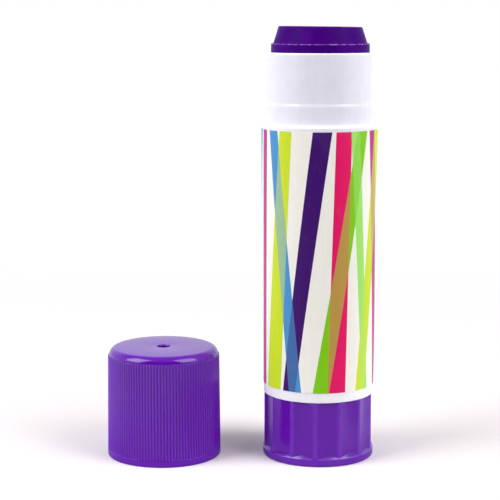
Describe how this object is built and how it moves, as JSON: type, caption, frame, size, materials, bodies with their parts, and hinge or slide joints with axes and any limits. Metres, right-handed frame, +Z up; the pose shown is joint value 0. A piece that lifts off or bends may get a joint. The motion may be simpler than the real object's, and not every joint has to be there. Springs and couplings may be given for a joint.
{
  "type": "glue stick",
  "caption": "Twist-up glue stick stood open beside its ribbed cap. A fluted knob turns a screw that raises the moulded glue out of the neck.",
  "frame": {"origin": "centre of the turning knob's bottom face, on the surface that the stick and its cap stand on", "axes": "+Z up the stick's axis, +X from the cap to the stick, -Y towards the front of the label"},
  "size_m": [0.0679, 0.029, 0.1077],
  "materials": {
    "violet_plastic": "satin-gloss moulded plastic in strong violet",
    "white_plastic": "satin white moulded plastic",
    "inner_plastic": "plain natural white moulded plastic",
    "label_film": "off-white printed wrap with slanted coloured stripes",
    "violet_glue": "waxy dark violet glue, slightly glossy"
  },
  "bodies": {
    "barrel": {"barrel": "white_plastic", "label": "label_film"},
    "knob": {"turning_knob": "violet_plastic", "spindle": "inner_plastic"},
    "carrier": {"carrier": "inner_plastic", "glue": "violet_glue"},
    "cap": {"cap": "violet_plastic"}
  },
  "joints": [
    {"name": "knob_turn", "type": "hinge", "parent": "barrel", "child": "knob", "pos_m": [0, 0, 0], "axis": [0, 0, 1], "range_deg": [-155.6, 4752.1]},
    {"name": "carrier_slide", "type": "slide", "parent": "barrel", "child": "carrier", "axis": [0, 0, 1], "range_m": [-0.00216, 0.066]},
    {"name": "cap_lift", "type": "slide", "parent": "barrel", "child": "cap", "axis": [0, 0, 1], "range_m": [0, 0.12]}
  ],
  "couplings": [
    {"joint": "knob_turn", "follows": "carrier_slide", "rad_per_m": 1256.6}
  ]
}
